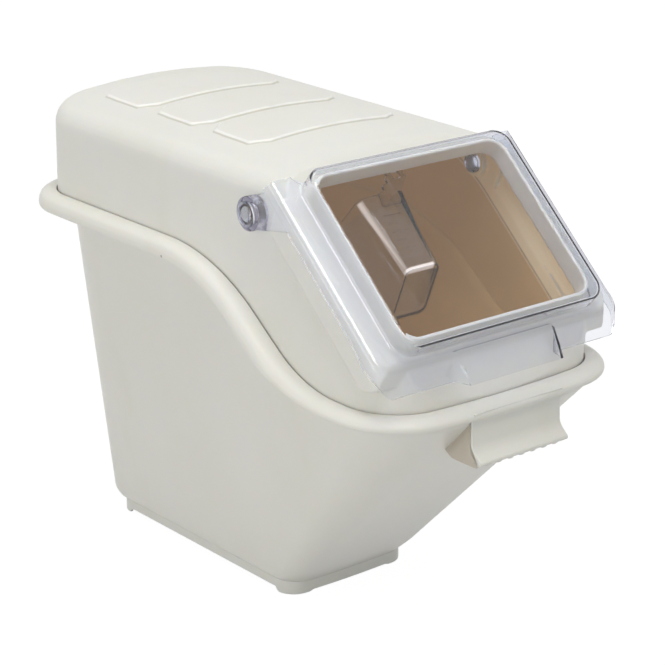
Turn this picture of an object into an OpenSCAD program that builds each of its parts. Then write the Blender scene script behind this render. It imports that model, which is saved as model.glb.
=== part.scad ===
// Shelf ingredient bin: a slope-fronted tub, a lift-off hood, a clear flip lid and a hung scoop.
// Millimetres. +Z is up, the front faces -Y, the origin is on the floor under the middle of the bin.

/* [Tub] */
// Half of the bin's width at the joint between tub and hood
half_w = 127; // [110:1:140]
// Distance from the middle of the bin to the front of the joint
front_y = 258.5; // [245:0.5:275]
// Distance from the middle of the bin to the back of the joint
back_y = 267; // [255:1:285]
// Plan radius of the front corners at the joint
corner_front = 52; // [40:1:60]
// Plan radius of the back corners at the joint
corner_back = 50; // [40:1:60]
// Radius of the slight outward bow of the front
front_bow = 900; // [600:50:2000]
// Thickness of the tub's walls
tub_wall = 3.3; // [2.5:0.1:4.5]
// Height of the joint along the back
seam_back_z = 338.5; // [330:0.5:350]
// Height of the joint along the front
seam_front_z = 249; // [245:0.5:260]
// Distance behind the middle where the joint starts to fall
step_y = 48; // [30:1:60]
// Steepest fall of the joint, in degrees
step_angle = 36; // [32:1:40]
// Radius of the upper bend of the joint
step_top_r = 210; // [190:5:225]
// Radius of the lower bend of the joint
step_low_r = 130; // [110:5:140]
// How far the rolled rim reaches past the hood
rim_w = 18.5; // [16:0.5:22]
// How much wider the rolled rim is where the joint slopes
rim_swell = 3.5; // [0:0.5:5]
// Height of the rolled rim along the back and sides
rim_h = 14.6; // [12:0.2:18]
// Height of the rolled rim along the front
rim_front_h = 10.2; // [9:0.2:14]
// Thickness of the rim's outer lip
rim_lip = 3; // [2.5:0.1:4]
// How far inside the joint the side walls stand, just under the rim
wall_side_in = 3; // [2:0.5:12]
// How far outside the joint the front wall stands, just under the rim
wall_front_out = 12; // [4:0.5:12.5]
// How far inside the joint the back wall stands, just under the rim
wall_back_in = 2.5; // [2:0.5:12]
// Plan radius of the tub's front corners just under the rim
wall_front_r = 60; // [45:1:75]
// Plan radius of the tub's back corners just under the rim
wall_back_r = 80; // [50:1:90]
// Half of the tub's width where it meets its foot
foot_half_w = 68; // [62:0.5:74]
// Front of the tub's foot, ahead of the middle
foot_front = 54; // [40:0.5:65]
// Back of the tub's foot, behind the middle
foot_back = 227; // [215:0.5:232]
// Plan radius of the foot's corners
foot_r = 20; // [14:1:26]
// How far the foot ring stands out past the tub's floor
foot_out = 3.5; // [1:0.5:6]
// Height of the foot ring
foot_h = 12; // [10:0.5:18]
// Height of the hollow under the foot between its corners
foot_relief = 4.2; // [2:0.2:6]
// Length of the foot that stays full height at each corner
foot_pad = 22; // [14:1:34]
// Height at which the tub's walls leave the rounded bottom edge
heel_h = 29; // [22:1:38]
// How far the walls stand out at that height
heel_out = 9.5; // [6:0.5:14]
// How far the back wall stands out at that height
heel_back_out = 12.5; // [6:0.5:14]
// How far the front wall stands out at that height
heel_front_out = 19; // [12:0.5:26]
// Plan radius of the back corners at that height
heel_back_r = 22; // [16:1:44]

/* [Tub handle] */
// Half of the width of the pull handle
pull_half_w = 51; // [40:1:60]
// Depth of the pull handle below the rim
pull_drop = 39.5; // [34:0.5:44]
// How far the handle's lip stands out past its plate
pull_lip = 10.5; // [8:0.5:12]
// Thickness of the handle's plate
pull_t = 3.2; // [2.6:0.1:4]
// Spacing of the finger teeth under the lip
tooth_pitch = 13; // [11:0.5:16]
// Radius of each finger tooth
tooth_r = 4.6; // [3.5:0.1:5]
// Number of finger teeth
tooth_count = 7; // [3:2:7]

/* [Hood] */
// Thickness of the hood's walls
hood_wall = 3; // [2.4:0.1:4]
// How far the hood's lower edge reaches down inside the rim
lap = 8; // [6:0.5:10]
// Height of the hood's roof above the joint along the back
roof_rise = 94.2; // [84:0.1:104]
// Radius of the roof's crown from side to side
crown_r = 676; // [500:1:1200]
// Radius of the roof's edges
roof_edge_r = 17; // [10:1:22]
// Radius of the bend from the roof to the sloping front
brow_r = 48; // [30:1:60]
// How much the hood's back leans in towards the roof
back_lean = 2; // [0:0.5:5]
// How much the hood's front leans in towards the sloping front
front_lean = 12; // [11:0.5:14]
// How far the sloping frame that the lid closes on stands out past the hood's sides
frame_out = 6; // [4:0.5:7]
// How far the sloping frame's front stands back from the front of the joint
frame_back = 6.5; // [5.5:0.5:12]
// Plan radius of the sloping frame's lower corners
frame_r = 20; // [18:1:30]
// Depth of the frame's sides below the lid's top face
frame_deep = 38.5; // [32:0.5:42]
// Height of the sloped edge under the frame's sides
frame_edge_h = 8; // [4:0.5:10]
// Width of the frame on each side of the opening
mouth_side = 28; // [25:1:40]
// Distance down the slope from the lid's top edge to the opening
mouth_top = 13.6; // [11:0.2:20]
// Distance up the slope from the lid's bend to the opening
mouth_foot = 19.5; // [19:0.5:40]
// Plan radius of the opening's corners
mouth_r = 14; // [8:1:20]
// Thickness of the raised rim round the opening
lip_t = 3.4; // [2.6:0.1:3.6]
// Height of the raised rim above the lid's flange
lip_h = 12.4; // [8:0.2:13]

/* [Roof pads] */
// Number of raised pads on the roof
pad_count = 3; // [1:1:3]
// Half of the width of a pad
pad_half_w = 83; // [60:1:88]
// Length of a pad
pad_len = 75; // [50:1:80]
// Spacing of the pads
pad_pitch = 85; // [82:1:86]
// Front of the frontmost pad, ahead of the middle
pad_front = 22.5; // [10:0.5:24]
// Height of a pad above the roof
pad_h = 2.8; // [1.5:0.1:4]
// Width of the cut corner of a pad
pad_cut_x = 17; // [8:1:24]
// Length of the cut corner of a pad
pad_cut_y = 11; // [6:1:18]

/* [Lid] */
// Distance of the lid's top edge ahead of the middle
lid_top_y = 111.8; // [108:0.2:116]
// Depth of the lid's top edge below the roof
lid_drop = 7.5; // [5:0.1:10]
// How far the lid's sides stand out past the sloping frame
lid_side_out = 6; // [4:0.5:7]
// Thickness of the lid's walls
lid_wall = 2.5; // [2:0.1:3]
// How far the lid's front skirt stands back from the front of the joint
lid_back = 1; // [0:0.1:3]
// Height of the front skirt's lower edge above the front of the joint
lid_low_rise = 21.5; // [15:0.5:27]
// Height of the lid's front skirt, up to the corner of its bend
lid_front_h = 23.5; // [20:0.5:30]
// Depth of the lid's side skirts
lid_skirt = 12; // [8:0.5:16]
// Plan radius of the lid's lower corners
lid_corner = 14; // [12:1:26]
// Radius of the bend from the lid's slope to its front skirt
lid_bend = 22; // [14:1:28]
// How far the lid's raised middle stands out past the sides of the opening
dome_side = 8.5; // [7:0.5:11]
// Height of the lid's raised middle
dome_h = 19.6; // [17:0.2:24]
// Distance down the slope to the top of the raised middle
dome_top = 5.5; // [4:0.5:8]
// Distance up the slope from the lid's bend to the raised middle
dome_foot = 8; // [6:0.5:10]
// Plan radius of the raised middle's corners
dome_corner = 16; // [10:1:22]
// Height of the clearance under the raised middle's back wall
relief_h = 7; // [5:0.2:9]
// Radius of the raised middle's upper edges
dome_edge = 4; // [3:0.5:6]
// Half of the width of the finger lip on the lid's front skirt
grip_half_w = 59; // [40:1:80]
// How far the finger lip stands out
grip_out = 15.5; // [10:0.5:18]
// Height of the finger lip
grip_h = 27; // [20:1:30]
// Plan radius of the finger lip's corners
grip_r = 9; // [6:0.5:12]

/* [Lid hinge] */
// Distance of the hinge behind the lid's top edge
hinge_back = 28.8; // [26:0.1:31]
// Depth of the hinge below the lid's top edge
hinge_drop = 34.2; // [32:0.1:37]
// Radius of the round eye on each side of the lid
eye_r = 15.2; // [13:0.2:16]
// Radius of the hinge plug's barrel
plug_r = 9; // [7:0.1:10]
// Radius of the hinge plug's head
plug_head_r = 11.6; // [11:0.1:13]
// Thickness of the hinge plug's head
plug_head_t = 1.6; // [1.2:0.1:2]
// Wall of the hollow hinge plug
plug_wall = 2; // [1.5:0.1:2.6]
// Running clearance round the plug's barrel in the lid's eye
eye_play = 0.08; // [0.04:0.01:0.1]
// Clearance round the plug's barrel in the hood
plug_play = 0.05; // [0.02:0.01:0.1]

/* [Scoop] */
// Distance from the middle of the bin to the middle of the scoop's cup
scoop_x = 16; // [12:1:24]
// Depth of the scoop's front wall below the lid's flange
scoop_under = 24.8; // [22:0.2:30]
// Distance down the slope to the cup's mouth
scoop_top = 22.2; // [21:0.2:26]
// Length of the cup's front wall
scoop_len = 78; // [60:1:90]
// Half of the width of the cup at its mouth
scoop_half_w = 25; // [22:0.5:28]
// Half of the width of the cup at its closed end
scoop_end_half_w = 19; // [16:0.5:22]
// Depth of the cup at its mouth
scoop_deep = 64; // [50:1:70]
// Depth of the cup at its closed end
scoop_end_deep = 54; // [40:1:60]
// Lean of the cup's closed end, in degrees
scoop_end_lean = 20; // [0:1:25]
// Corner radius of the cup at its mouth
scoop_r = 9; // [6:0.5:12]
// Thickness of the scoop's walls
scoop_wall = 2; // [1.6:0.1:2.6]
// Thickness of the scoop's handle
grip_t = 3; // [2.6:0.1:3.4]
// Height of the raised measuring marks
mark_t = 0.5; // [0.3:0.1:0.8]
// Number of raised measuring marks
mark_count = 6; // [3:1:8]

/* [Scoop hook] */
// Width of the hook's arm
hook_w = 6; // [5:0.5:7]
// Thickness of the hook's arm and base
hook_t = 3; // [2.6:0.1:3.4]
// Radius of the studs that hold the hook's base
stud_r = 2.4; // [2:0.1:3]

/* [Fits] */
// Clearance between the hood's lower edge and the rim
seat_gap = 0.4; // [0.3:0.1:0.8]
// Clearance between the hood's lower edge and the ledge that carries it
ledge_gap = 0.5; // [0.3:0.1:0.8]
// Clearance under the lid's flange
lid_gap = 1.5; // [0.5:0.1:2]
// Clearance between flat faces at the hinge
side_play = 0.3; // [0.2:0.05:0.5]

/* [Hidden] */
$fn = 64;
tiny = 0.01;
ivory = "#ece9dc";
clear = [0.86, 0.90, 0.93, 0.45];

// Places that follow from the joint
wall_half_w = half_w - wall_side_in;
wall_front = front_y + wall_front_out;
wall_back = back_y - wall_back_in;
roof_z = seam_back_z + roof_rise;
frame_half_w = half_w + frame_out;
frame_front = front_y - frame_back;
mouth_half_w = frame_half_w - mouth_side;
lid_half_w = frame_half_w + lid_side_out;
lid_front = front_y - lid_back;
lid_low_z = seam_front_z + lid_low_rise;
lid_knee_z = lid_low_z + lid_front_h;
lid_top_z = roof_z - lid_drop;
dome_half_w = mouth_half_w + dome_side;
hinge_y = lid_top_y - hinge_back;
hinge_z = lid_top_z - hinge_drop;

// The sloping front runs from the lid's top edge down to the corner of its bend
slope_len = norm([lid_front - lid_top_y, lid_top_z - lid_knee_z]);
slope = atan2(lid_top_z - lid_knee_z, lid_front - lid_top_y);
mouth_end = slope_len - mouth_foot;
dome_end = slope_len - dome_foot;

// Steps along each stretch of the plan outline
bow_steps = 4;
corner_steps = 8;
side_steps = 28;
back_steps = 2;
roof_steps = 6;
cap_steps = 10;

// The fall of the joint from back to front: an upper bend, a straight run and a lower bend
run_y = step_y - step_top_r * sin(step_angle);
run_z = seam_back_z - step_top_r * (1 - cos(step_angle));
run_drop = run_z - seam_front_z - step_low_r * (1 - cos(step_angle));
bend_y = run_y - run_drop / tan(step_angle);
level_y = bend_y - step_low_r * sin(step_angle);

function seam_z(y) =
    y >= step_y ? seam_back_z
    : y >= run_y ? seam_back_z - step_top_r + sqrt(pow(step_top_r, 2) - pow(step_y - y, 2))
    : y >= bend_y ? run_z - (run_y - y) * tan(step_angle)
    : y >= level_y ? seam_front_z + step_low_r - sqrt(pow(step_low_r, 2) - pow(y - level_y, 2))
    : seam_front_z;

// How far a vertical measure stretches where the joint slopes
function fall(y) =
    y >= step_y || y <= level_y ? 1
    : y >= run_y ? step_top_r / sqrt(pow(step_top_r, 2) - pow(step_y - y, 2))
    : y >= bend_y ? 1 / cos(step_angle)
    : step_low_r / sqrt(pow(step_low_r, 2) - pow(y - level_y, 2));

// Right half of a plan outline, from the front middle round to the back middle.
// Each station is [x, y, nx, ny], its place and its outward direction.
function right_half(w, f, b, rf, rb, sides) =
    let (
        xf = w - rf,
        mid = front_bow - f,
        yf = mid - sqrt(pow(front_bow - rf, 2) - pow(xf, 2)),
        turn = asin(xf / (front_bow - rf)),
        xb = w - rb,
        yb = b - rb
    )
    concat(
        [for (i = [0 : bow_steps - 1]) let (a = turn * i / bow_steps)
            [front_bow * sin(a), mid - front_bow * cos(a), sin(a), -cos(a)]],
        [for (i = [0 : corner_steps]) let (a = turn + (90 - turn) * i / corner_steps)
            [xf + rf * sin(a), yf - rf * cos(a), sin(a), -cos(a)]],
        [for (i = [1 : sides - 1]) [w, yf + (yb - yf) * i / sides, 1, 0]],
        [for (i = [0 : corner_steps]) let (a = 90 * i / corner_steps)
            [xb + rb * cos(a), yb + rb * sin(a), cos(a), sin(a)]],
        [for (i = [1 : back_steps]) [xb * (1 - i / back_steps), b, 0, 1]]
    );

// Whole outline, anticlockwise from above
function outline(w, f, b, rf, rb, sides = side_steps) =
    let (half = right_half(w, f, b, rf, rb, sides), n = len(half))
    concat(half, [for (i = [n - 2 : -1 : 1]) [-half[i][0], half[i][1], -half[i][2], half[i][3]]]);

function plan(stations) = [for (s = stations) [s[0], s[1]]];

function joint_outline() = outline(half_w, front_y, back_y, corner_front, corner_back);

// Unit vector, and the meeting point of the line through p along d with the line through q along e
function unit(v) = v / norm(v);
function meet(p, d, q, e) = p + d * ((q - p) * [e[1], -e[0]]) / (d * [e[1], -e[0]]);

// A corner list [[x, y, r], ...] with each corner rounded to its radius
function rounded(c, steps = 8) =
    let (n = len(c))
    [for (i = [0 : n - 1])
        let (
            p = [c[i][0], c[i][1]],
            a = c[(i + n - 1) % n],
            b = c[(i + 1) % n],
            u = unit([a[0], a[1]] - p),
            v = unit([b[0], b[1]] - p),
            r = c[i][2],
            half = acos(max(-1, min(1, u * v))) / 2
        )
        each r <= 0 ? [p]
            : let (
                m = p + unit(u + v) * r / sin(half),
                s = p + u * r / tan(half) - m,
                e = p + v * r / tan(half) - m,
                a0 = atan2(s[1], s[0]),
                raw = atan2(e[1], e[0]) - a0,
                turn = raw > 180 ? raw - 360 : raw < -180 ? raw + 360 : raw
            )
            [for (k = [0 : steps]) m + r * [cos(a0 + turn * k / steps), sin(a0 + turn * k / steps)]]
    ];

// A shape drawn as [y, z] and drawn out from x0 to x1
module side_block(points, x0, x1) {
    translate([x0, 0, 0])
        rotate([90, 0, 90])
            linear_extrude(x1 - x0)
                polygon(points);
}

// Point on the sloping front: s runs down the slope from the lid's top edge, h stands out from it
down_slope = [-cos(slope), -sin(slope)];
off_slope = [-sin(slope), cos(slope)];
lid_top = [-lid_top_y, lid_top_z];
function slope_point(s, h) = lid_top + down_slope * s + off_slope * h;

// Places children drawn with x across, -y down the slope and z standing out from it
module on_slope() {
    translate([0, lid_top[0], lid_top[1]])
        rotate([slope, 0, 0])
            children();
}

// Height of the frame's face under the lid's flange
deck_h = -lid_wall - lid_gap;

// ---------------------------------------------------------------- tub

heel_front = foot_front + heel_front_out;
heel_steps = 4;

// Outline of the rounded bottom edge, k steps up from the foot and moved in by t
function heel_outline(k, t) =
    let (a = 90 * k / heel_steps, out = sin(a), rise = 1 - cos(a))
    outline(
        foot_half_w + heel_out * out - t,
        foot_front + heel_front_out * rise - t,
        foot_back + heel_back_out * out - t,
        foot_r + 6 * out - t,
        foot_r + (heel_back_r - foot_r) * out - t
    );
function heel_z(k) = foot_h + (heel_h - foot_h) * (1 - cos(90 * k / heel_steps));

function wall_outline(t) =
    outline(wall_half_w - t, wall_front - t, wall_back - t, wall_front_r - t, wall_back_r - t);

// Height and width of the rim beside a place on the joint
function rim_drop(y) = rim_front_h + (rim_h - rim_front_h) * min(1, (seam_z(y) - seam_front_z) / 30);
function rim_reach(y) = rim_w + rim_swell * (fall(y) - 1) / (1 / cos(step_angle) - 1);

// Section of the rim and its ledge, [distance out from the joint, height over the joint].
// The rim is hollow underneath where the wall, which stands o out from the joint, leaves room.
function rim_section(y, o) =
    let (
        w = rim_reach(y),
        h = rim_drop(y),
        t = rim_lip,
        room = w - t - o,
        deep = min(h - t - 1.6, max(0.3, room - 4))
    )
    [
        [w - t - min(5.5, room * 0.6), deep - h],
        [w - t - min(1.6, room * 0.25), deep * 0.55 - h],
        [w - t, -h],
        [w - 0.8, -h - 0.6],
        [w, -h + 1.6],
        [w - 0.2, -h * 0.6],
        [w - 2.2, -3.6],
        [w - 6, -0.9],
        [w * 0.45, 0.5],
        [seat_gap + 1, 0.3],
        [seat_gap, -0.6],
        [seat_gap, -lap - ledge_gap],
        [-hood_wall - seat_gap, -lap - ledge_gap]
    ];

// One level of the tub's shell as points round the plan
function level(stations, z) = [for (s = stations) [s[0], s[1], z]];
function wall_top_z(y) = seam_z(y) - (rim_h + 1.5) * fall(y);

module tub_shell() {
    joint = joint_outline();
    n = len(joint);
    wall = wall_outline(0);
    wall_in = wall_outline(tub_wall);
    rings = concat(
        [for (k = [0 : heel_steps]) level(heel_outline(k, 0), heel_z(k))],
        [[for (s = wall) [s[0], s[1], wall_top_z(s[1])]]],
        [for (k = [0 : len(rim_section(0, 0)) - 1])
            [for (i = [0 : n - 1])
                let (
                    s = joint[i],
                    o = (wall[i][0] - s[0]) * s[2] + (wall[i][1] - s[1]) * s[3],
                    p = rim_section(s[1], o)[k]
                )
                [s[0] + s[2] * p[0], s[1] + s[3] * p[0], seam_z(s[1]) + p[1] * fall(s[1])]]],
        [[for (s = wall_in) [s[0], s[1], wall_top_z(s[1])]]],
        [for (k = [heel_steps : -1 : 0]) level(heel_outline(k, tub_wall), heel_z(k) + tub_wall)]
    );
    m = len(rings);
    strips = [for (k = [0 : m - 2]) for (i = [0 : n - 1])
        [k * n + i, (k + 1) * n + i, (k + 1) * n + (i + 1) % n, k * n + (i + 1) % n]];
    polyhedron(
        points = [for (ring = rings) each ring],
        faces = concat(
            strips,
            [[for (i = [0 : n - 1]) i]],
            [[for (i = [n - 1 : -1 : 0]) (m - 1) * n + i]]
        ),
        convexity = 10
    );
}

module foot_ring() {
    outer = outline(foot_half_w + foot_out, foot_front, foot_back, foot_r, foot_r);
    inner = outline(foot_half_w + foot_out - tub_wall, foot_front - tub_wall, foot_back - tub_wall,
        foot_r - tub_wall, foot_r - tub_wall);
    side_len = foot_front + foot_back - 2 * foot_pad;
    difference() {
        linear_extrude(foot_h + 1.5)
            polygon(plan(outer));
        translate([0, 0, -1])
            linear_extrude(foot_h + 1)
                polygon(plan(inner));
        translate([-foot_half_w - 5, foot_pad - foot_front, -1])
            cube([2 * foot_half_w + 10, side_len, foot_relief + 1]);
        translate([foot_pad - foot_half_w, -foot_front - 5, -1])
            cube([2 * (foot_half_w - foot_pad), foot_front + foot_back + 10, foot_relief / 3 + 1]);
    }
}

// Front pull handle: a hollow-backed plate that flares into a lip with finger teeth
rim_low_z = seam_front_z - rim_front_h;
pull_y = -(front_y + rim_w - 3.5);
pull_low_z = rim_low_z - pull_drop;
tooth_z = pull_low_z + tooth_r - 1.8;

function tub_front_y(z) =
    -heel_front - (z - heel_h) * (wall_front - heel_front) / (seam_front_z - rim_h - 1.5 - heel_h);

module pull_plate() {
    y = pull_y;
    z = pull_low_z;
    lip = pull_lip;
    t = pull_t;
    top = rim_low_z + 6;
    side_block([
        [y - 2.4, top], [y + 1, rim_low_z - 2], [y + 0.6, z + 25], [y, z + 15], [y - 2.6, z + 10.5],
        [y - lip * 0.72, z + 6.4], [y - lip, z + 3.8], [y - lip, z + 1.4], [y - lip + 1.6, z],
        [y - lip + 4.5, z + 0.6], [y - lip + t + 3.8, z + 3.6], [y - 2.6 + t, z + 8], [y + t - 0.4, z + 13.5],
        [y + t, z + 20], [y + t, top]
    ], -pull_half_w, pull_half_w);
}

module pull_cheek(x0) {
    y = pull_y;
    z = pull_low_z;
    wall = tub_wall * 0.6;
    side_block([
        [y + 1.4, rim_low_z - 1], [y + 1.4, z + 16], [y - pull_lip + 3, z + 2.5], [y - pull_lip + 5, z - 2.5],
        [tub_front_y(z + 3) - 7, z - 2.5], [tub_front_y(z + 3) + wall, z + 3],
        [tub_front_y(rim_low_z - 9) + wall, rim_low_z - 9]
    ], x0, x0 + pull_t);
}

module pull_teeth() {
    for (i = [0 : tooth_count - 1])
        intersection() {
            translate([(i - (tooth_count - 1) / 2) * tooth_pitch, pull_y - pull_lip + 6, tooth_z])
                rotate([90, 0, 0])
                    cylinder(r = tooth_r, h = 5, $fn = 24);
            translate([-pull_half_w, pull_y - pull_lip, pull_low_z - 5])
                cube([2 * pull_half_w, 8, 7]);
        }
}

module tub() {
    color(ivory)
    union() {
        tub_shell();
        foot_ring();
        pull_plate();
        pull_cheek(-pull_half_w);
        pull_cheek(pull_half_w - pull_t);
        pull_teeth();
    }
}

// ---------------------------------------------------------------- hood

// Side shape of the hood, moved in by t; low is the list of points that closes it below
function hood_side(t, low) =
    let (
        roof = [0, roof_z - t + 0.1],
        deck = slope_point(0, deck_h - t),
        face = [t - front_y, seam_front_z],
        face_up = unit([front_lean, 40]),
        brow = meet(roof, [1, 0], deck, down_slope),
        chin = meet(deck, down_slope, face, face_up)
    )
    concat(
        rounded([
            [back_y + 5, roof[1], 0],
            [brow[0], brow[1], brow_r - t],
            [chin[0], chin[1], 10 - t],
            [t - front_y, seam_front_z, 0]
        ], 8),
        low
    );

low_steps = 64;
function hood_low_edge() =
    [for (i = [0 : low_steps])
        let (y = -front_y + (front_y + back_y + 5) * i / low_steps)
        [y, seam_z(y) - lap * fall(y)]];

// Height of the crowned roof, moved in by t
function roof_at(x, t) = roof_z - crown_r + sqrt(pow(crown_r - t, 2) - x * x);

// Upright shell whose roof is rounded all the way round, moved in by t
module hood_shell(t, low_z) {
    base = outline(half_w - t, front_y - t, back_y - t, corner_front - t, corner_back - t, 2);
    n = len(base);
    last = n / 2;
    r = roof_edge_r - t;
    lean = back_lean / (roof_z - seam_back_z);
    top = roof_steps * n + n;
    cap = top + n;
    function ring_point(s, in, z) =
        [s[0] - s[2] * in, s[1] - s[3] * in - max(0, s[3]) * lean * (z - seam_back_z), z];
    function roof_ring(k) =
        let (a = 90 * k / roof_steps, in = r * (1 - cos(a)), drop = r * (1 - sin(a)))
        [for (s = base) ring_point(s, in, roof_at(s[0] - s[2] * in, t) - drop)];
    edge = roof_ring(roof_steps);
    function cap_index(i, j) =
        j == 0 ? top + i : j == cap_steps ? top + n - i : cap + (i - 1) * (cap_steps - 1) + j - 1;
    polyhedron(
        points = concat(
            [for (s = base) ring_point(s, 0, low_z)],
            [for (k = [0 : roof_steps]) each roof_ring(k)],
            [for (i = [1 : last - 1]) for (j = [1 : cap_steps - 1])
                let (x = edge[i][0] * (1 - 2 * j / cap_steps))
                [x, edge[i][1], roof_at(x, t)]]
        ),
        faces = concat(
            [[for (i = [0 : n - 1]) i]],
            [for (k = [0 : roof_steps]) for (i = [0 : n - 1])
                [k * n + i, (k + 1) * n + i, (k + 1) * n + (i + 1) % n, k * n + (i + 1) % n]],
            [for (i = [1 : last - 2]) for (j = [0 : cap_steps - 1])
                [cap_index(i, j), cap_index(i, j + 1), cap_index(i + 1, j + 1), cap_index(i + 1, j)]],
            [for (j = [0 : cap_steps - 1]) [top, cap_index(1, j + 1), cap_index(1, j)]],
            [for (j = [0 : cap_steps - 1])
                [top + last, cap_index(last - 1, j), cap_index(last - 1, j + 1)]]
        ),
        convexity = 6
    );
}

module hood_block(t, low, low_z) {
    intersection() {
        side_block(hood_side(t, low), -half_w - 5, half_w + 5);
        hood_shell(t, low_z);
    }
}

// The wider frame that stands out from the hood's sides under the lid
function frame_side(t) =
    let (
        a = slope_point(14 + t, deck_h - 0.5 - t),
        b = slope_point(30 + t, t - frame_deep - 12),
        c = slope_point(slope_len - 14 - t, t - frame_deep - 6),
        e = slope_point(slope_len + 3 - t, -27 + t),
        d = slope_point(slope_len - 6 - t, deck_h - 0.5 - t)
    )
    rounded([
        [a[0], a[1], 3], [b[0], b[1], 6], [c[0], c[1], 10 - t], [e[0], e[1], 6 - t], [d[0], d[1], 6 - t]
    ], 5);

module frame_block(t) {
    w = frame_half_w;
    edge = frame_edge_h / frame_out;
    side_low = t * sqrt(1 + edge * edge) - t * edge - frame_deep;
    intersection() {
        side_block(frame_side(t), t - w, w - t);
        translate([0, 0, seam_front_z])
            linear_extrude(roof_z - seam_front_z)
                polygon(rounded([
                    [w, 0, 0], [-w, 0, 0],
                    [t - w, t - frame_front, frame_r - t], [w - t, t - frame_front, frame_r - t]
                ], 8));
        on_slope()
            rotate([90, 0, 0])
                linear_extrude(slope_len + 20)
                    polygon([
                        [w - t, 0], [t - w, 0], [t - w, side_low], [t - w + 20, side_low - 20 * edge],
                        [w - t - 20, side_low - 20 * edge], [w - t, side_low]
                    ]);
    }
}

// A block that stands on the slope, s0 to s1 down it and h0 to h1 off it, with rounded plan corners
module slope_block(w, s0, s1, h0, h1, r) {
    on_slope()
        translate([0, 0, h0])
            linear_extrude(h1 - h0)
                polygon(rounded([[-w, -s0, r], [-w, -s1, r], [w, -s1, r], [w, -s0, r]], 8));
}

function pad_plan(i) =
    let (y = -pad_front + i * pad_pitch, w = pad_half_w, l = pad_len, cx = pad_cut_x, cy = pad_cut_y)
    [
        [-w + cx, y], [w - cx, y], [w, y + cy], [w - 2, y + l - cy],
        [w - cx, y + l], [-w + cx, y + l], [-w + 2, y + l - cy], [-w, y + cy]
    ];

module roof_pads() {
    for (i = [0 : pad_count - 1])
        intersection() {
            translate([0, 0, roof_z - 12])
                linear_extrude(30)
                    polygon(pad_plan(i));
            translate([0, back_y, roof_z - crown_r])
                rotate([90, 0, 0])
                    cylinder(r = crown_r + pad_h, h = front_y + back_y, $fn = 360);
        }
}

module at_hinge(side) {
    translate([0, -hinge_y, hinge_z])
        rotate([0, side * 90, 0])
            children();
}

// Hook seat under the roof: two studs with staked heads
hook_x = scoop_half_w - scoop_x + 2;
handle_end = 8;
bar_w = 5;
slot_len = 13;
slot_half_w = hook_w / 2 + 1.5;
bar_low = slope_point(bar_w - handle_end, -scoop_under - grip_t);
bar_back = slope_point(-handle_end, -scoop_under - grip_t);
bar_front = slope_point(bar_w - handle_end, -scoop_under);
trough_z = bar_low[1] - 0.4;
toe_h = 5;
toe_y = bar_front[0] - 1.5 - hook_t;
shank_y = bar_back[0] + 2.5;
hook_base_half_l = 16;
hook_base_half_w = 9;
hook_base_y = shank_y + hook_base_half_l;
hook_base_z = roof_z - hood_wall - 0.5;
stud_dy = 9;

module hook_studs() {
    for (dy = [-stud_dy, stud_dy])
        translate([hook_x, hook_base_y + dy, 0]) {
            translate([0, 0, hook_base_z - hook_t - 1])
                cylinder(r = stud_r, h = hook_t + 3, $fn = 32);
            translate([0, 0, hook_base_z - hook_t - 1.5])
                cylinder(r = stud_r + 1.6, h = 1.2, $fn = 32);
        }
}

boss_r = plug_r + 4;
boss_in = 6;
open_z = seam_front_z - 90;

module hood() {
    color(ivory)
    difference() {
        union() {
            difference() {
                union() {
                    hood_block(0, hood_low_edge(), seam_front_z - 100);
                    frame_block(0);
                    roof_pads();
                    slope_block(mouth_half_w + lip_t, mouth_top - lip_t, mouth_end + lip_t,
                        deck_h - 2, lip_h, mouth_r + lip_t);
                }
                hood_block(hood_wall, [[hood_wall - front_y, open_z], [back_y - hood_wall, open_z]], open_z);
                frame_block(hood_wall);
                slope_block(mouth_half_w, mouth_top, mouth_end, -14, lip_h + 5, mouth_r);
            }
            for (side = [-1, 1])
                at_hinge(side)
                    translate([0, 0, half_w - hood_wall - boss_in])
                        cylinder(r = boss_r, h = boss_in + 1);
            hook_studs();
        }
        for (side = [-1, 1])
            at_hinge(side)
                translate([0, 0, half_w - hood_wall - boss_in - 2])
                    cylinder(r = plug_r + plug_play, h = 20);
    }
}

// ---------------------------------------------------------------- lid

function lid_side(t, low) =
    let (
        edge = slope_point(t > 0 ? -6 : 0, -t),
        corner = meet(edge, down_slope, [t - lid_front, 0], [0, 1])
    )
    concat(
        [edge],
        rounded([[edge[0], edge[1], 0], [corner[0], corner[1], lid_bend - t], [corner[0], lid_low_z, 0]], 8),
        low
    );

// Plan shape that rounds the lid's lower corners
function lid_plan(t) =
    rounded([
        [lid_half_w - t, 0, 0], [t - lid_half_w, 0, 0],
        [t - lid_half_w, t - lid_front, lid_corner - t], [lid_half_w - t, t - lid_front, lid_corner - t]
    ], 8);

module lid_block(t, low) {
    intersection() {
        side_block(lid_side(t, low), t - lid_half_w, lid_half_w - t);
        translate([0, 0, lid_low_z - 60])
            linear_extrude(lid_top_z - lid_low_z + 80)
                polygon(lid_plan(t));
    }
}

module dome(t) {
    w = dome_half_w - t;
    s0 = dome_top + t;
    s1 = dome_end - t;
    h = dome_h - t;
    low = -lid_wall - (t > 0 ? 1 : 0);
    e = dome_edge - t;
    on_slope()
        intersection() {
            translate([0, 0, low])
                linear_extrude(h - low)
                    polygon(rounded([[-w, -s0, dome_corner - t], [-w, -s1, dome_corner - t],
                        [w, -s1, dome_corner - t], [w, -s0, dome_corner - t]], 8));
            side_block(rounded([[-s0, low, 0], [-s1, low, 0], [-s1, h, e], [-s0, h, e]], 6), -w, w);
            translate([0, -s0, 0])
                rotate([90, 0, 0])
                    linear_extrude(s1 - s0)
                        polygon(rounded([[-w, low, 0], [w, low, 0], [w, h, e], [-w, h, e]], 6));
        }
}

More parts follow.
